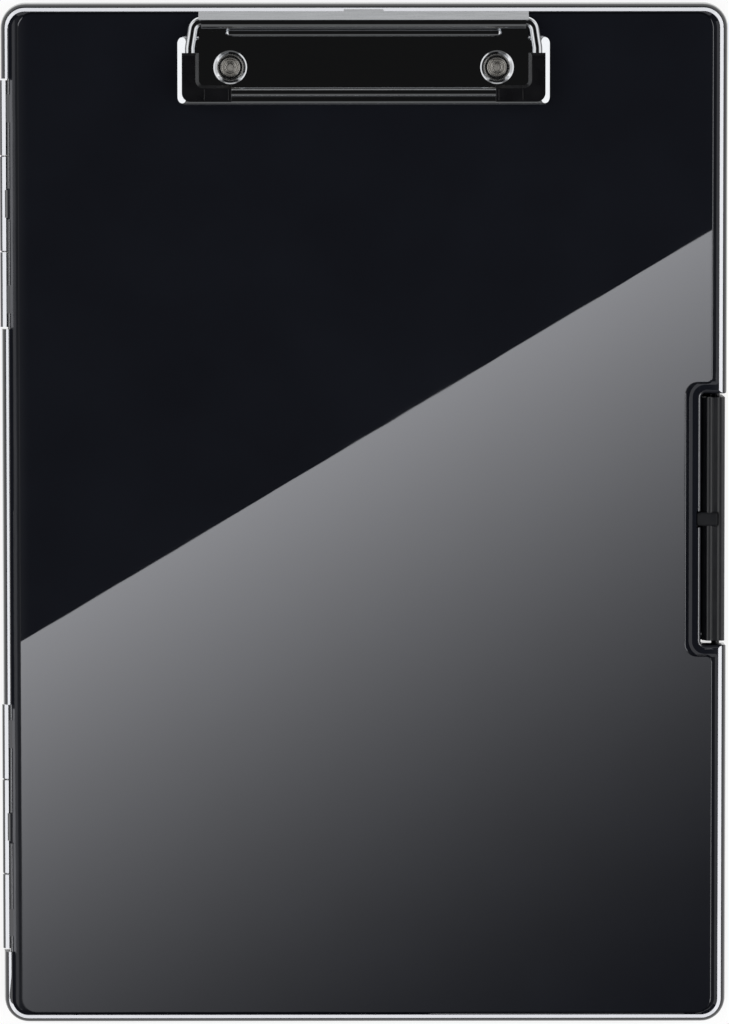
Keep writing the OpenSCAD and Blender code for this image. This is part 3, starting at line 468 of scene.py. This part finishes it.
rim = []
for x, y, start in ((RIM_RIGHT - RIM_CORNER, RIM_END - RIM_CORNER, 0),
                    (RIM_LEFT + RIM_CORNER, RIM_END - RIM_CORNER, 90),
                    (RIM_LEFT + RIM_CORNER, RIM_CORNER - RIM_END, 180),
                    (RIM_RIGHT - RIM_CORNER, RIM_CORNER - RIM_END, 270)):
    for i in range(CORNER_STEPS + 1):
        a = math.radians(start + 90 * i / CORNER_STEPS)
        outwards = Vector((math.cos(a), math.sin(a)))
        rim.append((Vector((x, y)) + outwards * RIM_CORNER, outwards))
rim_left_side = [(at, outwards) for at, outwards in rim if outwards.x < -0.999]
print("the rim has", len(rim), "points, its left side", len(rim_left_side))


# %% Lines along the rim and the barrels
BESIDE = 40 * MM
FULL_TO, GONE_AT = 1.62 * BESIDE, 1.75 * BESIDE


def rim_light(name, path, tilt, z, under, over, radiance):
    """A line that a strip leaning out by tilt degrees, at height z, mirrors.

    It reaches some degrees under and over the direction that the strip mirrors.
    These differ between the left and right sides and the ends.
    """
    points = []
    for at, outwards in path:
        lean = math.degrees(math.atan((at - CAMERA_AT.xy).dot(outwards) / (CAMERA_AT.z - z)))
        side, end = "left" if outwards.x < -0.05 else "right", outwards.y ** 2
        for turn in (-under[side] * (1 - end) - under["end"] * end,
                     over[side] * (1 - end) + over["end"] * end):
            up = math.tan(math.radians(90 - 2 * tilt - lean + turn))
            away = at + outwards * BESIDE
            points.append((away.x, away.y, z + BESIDE * up))
    faces = paired_faces(len(path))
    if path is rim:  # it runs all round, so its end joins its start
        faces.append((len(points) - 2, 0, 1, len(points) - 1))
    tree, strength = glowing_mesh(name, points, faces, SHELL, rides_on="lid")
    length = add_node(tree, "ShaderNodeLightPath").outputs["Ray Length"]
    near = add_node(tree, "ShaderNodeMapRange",
                    {"From Min": FULL_TO, "To Min": radiance, "From Max": GONE_AT, "To Max": 0.0},
                    {"Value": length}, interpolation_type="SMOOTHSTEP").outputs["Result"]
    tree.links.new(near, strength)


rim_light("rim_line", rim, 25, 23.55 * MM, {"left": 1.0, "right": 0.8, "end": 2.4},
          {"left": 0.25, "right": 6.1, "end": 4.6}, 14)
rim_light("barrel_line", rim_left_side, 27.5, 18.75 * MM, {"left": 1.3, "end": 1.3},
          {"left": 2.8, "end": 2.8}, 14)

# %% [markdown]
# ## Graded card over the lid
# The lid mirrors what hangs straight above it: here a large graded card whose
# straight edge cuts across the lid from side to side. Above the edge the room is
# dark, and below it the card fades away from the edge. A lamp could be moved
# about until its image falls right. It is quicker to carry each point of the lid
# along its mirrored line of sight up to the card, where the same shape comes
# out larger.

# %% From the lid to the card
CARD_HIGH = 1.0
grow = 1 + CARD_HIGH / (CAMERA_AT.z - LID_TOP)


def above(x_mm, y_mm):
    """Where the lid's point (x, y) mirrors the camera's line of sight on the card."""
    p = Vector((x_mm * MM, y_mm * MM))
    return p * grow - CAMERA_AT.xy * (grow - 1)


def card_over(name, lid_points, height):
    """A glowing card whose mirrored outline on the lid has these corners, in mm."""
    corners = [above(x, y) for x, y in lid_points]
    return glowing_mesh(name, [(c.x, c.y, LID_TOP + height) for c in corners],
                        [tuple(range(len(corners)))], ["lid"])


print("a card over the lid is", round(grow, 3), "times as large as its mirror image")

# %% [markdown]
# The card is cut to the writing plate's mirrored outline, with its round corners
# and the notch for the latch, so the rim round it stays dark.

# %% Outline of the writing plate
EDGE_START, EDGE_RISE = 24.9, 0.596
PLATE_LEFT, PLATE_RIGHT, PLATE_END, PLATE_CORNER = -109.1, 110.3, -158.7, 4.5
NOTCH_X, NOTCH_LO, NOTCH_HI = 101.9, -45.0, 42.4
NOTCH_CORNER, NOTCH_LIP = 4, 1.6


def edge_y(x_mm):
    """The card's straight edge, as it shows on the lid."""
    return EDGE_START + EDGE_RISE * x_mm


def rounded(x, y, r, start, stop):
    """Points round a corner's arc, given its centre, radius and two angles."""
    turn = [math.radians(start + (stop - start) * i / 6) for i in range(7)]
    return [(x + r * math.cos(t), y + r * math.sin(t)) for t in turn]


outline = [(PLATE_LEFT, edge_y(PLATE_LEFT))]
for x, y, r, start, stop in (
        (PLATE_LEFT + PLATE_CORNER, PLATE_END + PLATE_CORNER, PLATE_CORNER, 180, 270),
        (PLATE_RIGHT - PLATE_CORNER, PLATE_END + PLATE_CORNER, PLATE_CORNER, 270, 360),
        (PLATE_RIGHT - NOTCH_LIP, NOTCH_LO - NOTCH_LIP, NOTCH_LIP, 0, 90),
        (NOTCH_X + NOTCH_CORNER, NOTCH_LO + NOTCH_CORNER, NOTCH_CORNER, 270, 180),
        (NOTCH_X + NOTCH_CORNER, NOTCH_HI - NOTCH_CORNER, NOTCH_CORNER, 180, 90),
        (PLATE_RIGHT - NOTCH_LIP, NOTCH_HI + NOTCH_LIP, NOTCH_LIP, -90, 0)):
    outline += rounded(x, y, r, start, stop)
outline += [(PLATE_RIGHT, edge_y(PLATE_RIGHT))]
print("the plate's outline has", len(outline), "points")

# %% [markdown]
# The card's light falls off with the distance from its straight edge. The
# distance is a dot product with the edge's normal, and a power shapes the fall.

# %% Graded card
CARD_RADIANCE, CARD_FALL, CARD_REACH = 4.85, 2.8, 248.7 * MM

tree, strength = card_over("graded_card", outline, CARD_HIGH)
edge_point = above(0, edge_y(0))
edge_normal = Vector((EDGE_RISE, -1)).normalized()
place = add_node(tree, "ShaderNodeTexCoord").outputs["Object"]
offset = add_node(tree, "ShaderNodeVectorMath", {1: (edge_point.x, edge_point.y, 0)}, {0: place},
                  operation="SUBTRACT").outputs["Vector"]
reach = add_node(tree, "ShaderNodeVectorMath", {1: (edge_normal.x, edge_normal.y, 0)},
                 {0: offset}, operation="DOT_PRODUCT").outputs["Value"]
left = add_node(tree, "ShaderNodeMapRange",
                {"From Min": 0.0, "From Max": CARD_REACH * grow, "To Min": 1.0, "To Max": 0.0},
                {"Value": reach}).outputs["Result"]
fade = add_node(tree, "ShaderNodeMath", {1: CARD_FALL}, {0: left}, operation="POWER").outputs[0]
power = add_node(tree, "ShaderNodeMath", {1: CARD_RADIANCE}, {0: fade}, operation="MULTIPLY")
tree.links.new(power.outputs[0], strength)

# %% [markdown]
# Two more cards glow faintly over the plate's long sides, brightest at the rim.
# Three narrow strips lie over the groove on the left and over the steps at the
# hinges, and draw a fine line along each.

# %% Glows and strips over the long sides
GLOW_END = 162
STRIP_WIDE = 0.9

for side, inner, outer, radiance in (("left", -105.0, -113.5, 0.3), ("right", 108.5, 113.5, 0.2)):
    tree, strength = card_over("glow_" + side, [(inner, -GLOW_END), (outer, -GLOW_END),
                                                (outer, GLOW_END), (inner, GLOW_END)],
                               CARD_HIGH - 0.02)
    along = add_node(tree, "ShaderNodeSeparateXYZ", links={
        0: add_node(tree, "ShaderNodeTexCoord").outputs["Object"]}).outputs["X"]
    glow = add_node(tree, "ShaderNodeMapRange",
                    {"From Min": above(inner, 0).x, "From Max": above(outer, 0).x,
                     "To Min": 0.0, "To Max": radiance},
                    {"Value": along}, interpolation_type="SMOOTHSTEP").outputs["Result"]
    tree.links.new(glow, strength)

for name, x, y_lo, y_hi, radiance in (("groove", -110.35, -157, 157, 0.55),
                                      ("hinge_upper", -111.2, 60, 138, 2.2),
                                      ("hinge_lower", -111.2, -139, -61, 2.2)):
    x_lo, x_hi = x - STRIP_WIDE / 2, x + STRIP_WIDE / 2
    corners = [(x_lo, y_lo), (x_hi, y_lo), (x_hi, y_hi), (x_lo, y_hi)]
    card_over("strip_over_" + name, corners, CARD_HIGH - 0.01)[1].default_value = radiance

# %% [markdown]
# ## Camera
# A long lens looks almost straight down from above the clip end, so the case's
# sides hardly show and its outline stays square. A short lens nearer by would
# show the sides and make the foot end smaller.

# %% Camera
FOCAL_LENGTH = 219.34
CAMERA_TURN = [math.radians(degrees) for degrees in (-3.828, -0.121, -0.041)]

lens = bpy.data.cameras.new("camera")
lens.sensor_fit = "AUTO"
lens.sensor_width = 36
lens.lens = FOCAL_LENGTH
lens.clip_start, lens.clip_end = 0.05, 30
camera = bpy.data.objects.new("camera", lens)
bpy.context.scene.collection.objects.link(camera)
camera.location = CAMERA_AT
camera.rotation_euler = CAMERA_TURN
bpy.context.scene.camera = camera
print("camera:", FOCAL_LENGTH, "mm lens,", round(CAMERA_AT.z, 2), "m up")

# %% [markdown]
# The finishes don't change the case's size. The view shows each colour as it is written, with no
# film curve.

# %% View transform
bpy.context.scene.view_settings.view_transform = "Standard"
